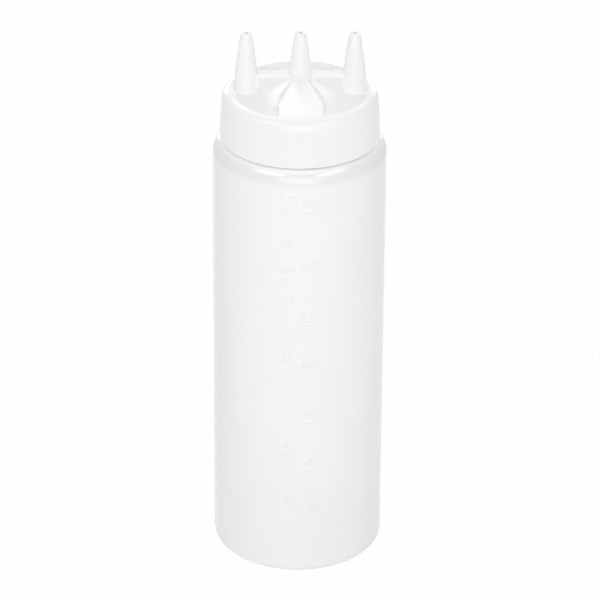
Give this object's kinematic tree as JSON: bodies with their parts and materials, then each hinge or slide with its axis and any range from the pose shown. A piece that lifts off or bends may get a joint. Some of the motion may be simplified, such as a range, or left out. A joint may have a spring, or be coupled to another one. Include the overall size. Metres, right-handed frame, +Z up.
{
  "type": "squeeze bottle with three-nozzle screw cap",
  "caption": "Round wide-mouth squeeze bottle for sauces, with a screw cap that carries a row of open pouring nozzles joined by a web.",
  "frame": {"origin": "middle of the base, at the level of the ring that the bottle stands on", "axes": "+Z up along the bottle's axis; the three nozzles stand in a row along X; the volume marks are on the -Y side"},
  "size_m": [0.0742, 0.0742, 0.2445],
  "materials": {
    "bottle_ldpe": "frosted, translucent, blow moulded",
    "cap_ldpe": "satin, translucent, injection moulded",
    "seal_foam": "matt foam"
  },
  "bodies": {
    "bottle": {"bottle": "bottle_ldpe"},
    "seal_ring": {"seal_ring": "seal_foam"},
    "cap": {"cap": "cap_ldpe"}
  },
  "joints": [
    {"name": "cap_turn", "type": "hinge", "parent": "seal_ring", "child": "cap", "pos_m": [0, 0, 0.2], "axis": [0, 0, 1], "range_deg": [0, 1440]},
    {"name": "cap_rise", "type": "slide", "parent": "bottle", "child": "seal_ring", "axis": [0, 0, 1], "range_m": [0, 0.01694]}
  ],
  "couplings": [
    {"joint": "cap_rise", "follows": "cap_turn", "m_per_rad": 0.00067376}
  ]
}
